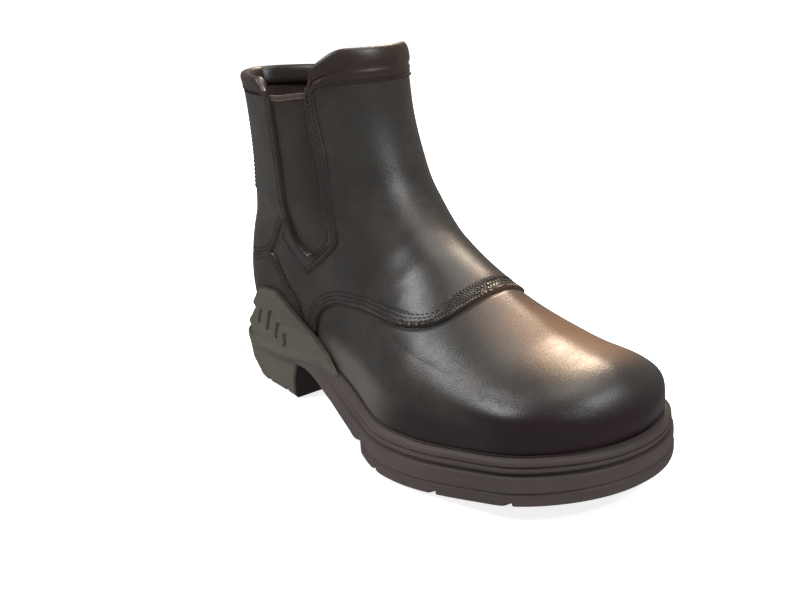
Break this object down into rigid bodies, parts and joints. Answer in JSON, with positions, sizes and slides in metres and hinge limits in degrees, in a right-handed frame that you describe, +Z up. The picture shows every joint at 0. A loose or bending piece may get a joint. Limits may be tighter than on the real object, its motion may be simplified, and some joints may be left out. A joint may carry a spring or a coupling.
{
  "type": "side gore work boot",
  "caption": "Ankle-high side gore work boot for the right foot: brown leather upper, elastic gores, padded collar, pull strap, moulded heel cup and a thick rubber sole.",
  "frame": {"origin": "on the floor, at the middle of the heel block's length", "axes": "+X towards the toe, +Y towards the inner side of the foot, +Z up"},
  "size_m": [0.3036, 0.1257, 0.2048],
  "materials": {
    "leather": "oiled, soft gloss",
    "collar_leather": "oiled, padded",
    "elastic": "ribbed elastic textile",
    "webbing": "woven",
    "insole_foam": "matt",
    "rubber": "matt",
    "heel_rubber": "matt"
  },
  "bodies": {
    "root": {"upper": "leather", "gore_outer_side": "elastic", "gore_inner_side": "elastic", "counter": "leather", "back_panel": "leather", "quarter": "leather", "collar_front": "collar_leather", "collar_back": "collar_leather", "pull_strap": "webbing", "insole": "insole_foam", "midsole": "rubber", "heel_cup": "heel_rubber", "heel_block": "heel_rubber", "outsole": "rubber"}
  },
  "joints": []
}
